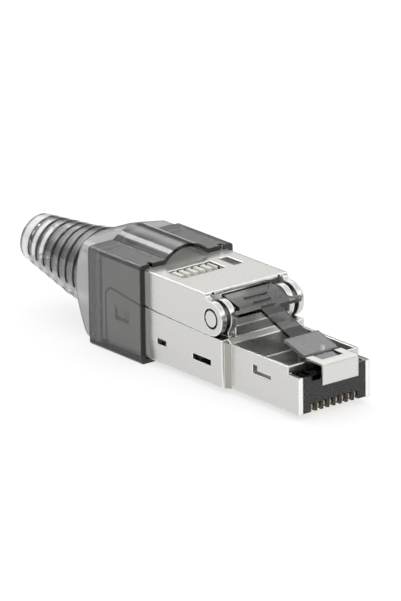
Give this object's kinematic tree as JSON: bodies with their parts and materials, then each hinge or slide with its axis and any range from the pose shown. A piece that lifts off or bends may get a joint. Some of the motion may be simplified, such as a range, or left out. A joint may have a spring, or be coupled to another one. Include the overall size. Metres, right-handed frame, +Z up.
{
  "type": "field termination ethernet plug",
  "caption": "Tool-free modular network plug with a cast metal body, hinged lid, sprung latch lever, smoked slide-on cover and slotted bend relief.",
  "frame": {"origin": "middle of the plug's footprint, at the height of the cover's underside", "axes": "+X out of the nose that enters the jack, +Z up through the latch lever, Y across the contacts"},
  "size_m": [0.0636, 0.0154, 0.015],
  "materials": {
    "nickel_plated_zinc": "satin nickel plating on die-cast zinc",
    "steel_pin": "ground steel",
    "bent_sheet_metal": "nickel-plated bent sheet",
    "smoked_polycarbonate": "glossy, smoke tinted, see-through",
    "dark_polycarbonate": "glossy dark smoke",
    "gold_plated_bronze": "bright gold plating",
    "tinned_bronze": "tinned",
    "board_laminate": "green solder mask",
    "terminal_plastic": "moulded",
    "comb_plastic": "moulded, light",
    "spring_bronze": "bare spring strip",
    "collet_plastic": "moulded, dark grey",
    "clear_grey_elastomer": "see-through grey"
  },
  "bodies": {
    "housing": {"lower_housing": "nickel_plated_zinc", "hinge_lid": "nickel_plated_zinc", "hinge_pin_left": "steel_pin", "hinge_pin_right": "steel_pin", "latch_bridge": "bent_sheet_metal", "contact_carrier": "dark_polycarbonate", "contact_1": "gold_plated_bronze", "contact_2": "gold_plated_bronze", "contact_3": "gold_plated_bronze", "contact_4": "gold_plated_bronze", "contact_5": "gold_plated_bronze", "contact_6": "gold_plated_bronze", "contact_7": "gold_plated_bronze", "contact_8": "gold_plated_bronze", "circuit_board": "board_laminate", "terminal_block": "terminal_plastic", "idc_blade_1": "tinned_bronze", "idc_blade_2": "tinned_bronze", "idc_blade_3": "tinned_bronze", "idc_blade_4": "tinned_bronze", "idc_blade_5": "tinned_bronze", "idc_blade_6": "tinned_bronze", "idc_blade_7": "tinned_bronze", "idc_blade_8": "tinned_bronze", "wire_manager": "comb_plastic", "shield_clip": "spring_bronze"},
    "latch": {"latch_lever": "smoked_polycarbonate"},
    "cover": {"rear_cover": "smoked_polycarbonate", "cable_collet": "collet_plastic", "kink_boot": "clear_grey_elastomer"}
  },
  "joints": [
    {"name": "latch_press", "type": "hinge", "parent": "housing", "child": "latch", "pos_m": [0.02947, 0, 0.0065], "axis": [0, -1, 0], "range_deg": [0, 8], "stiffness_Nm_per_rad": 0.05},
    {"name": "cover_slide", "type": "slide", "parent": "housing", "child": "cover", "axis": [-1, 0, 0], "range_m": [0, 0.014]}
  ]
}
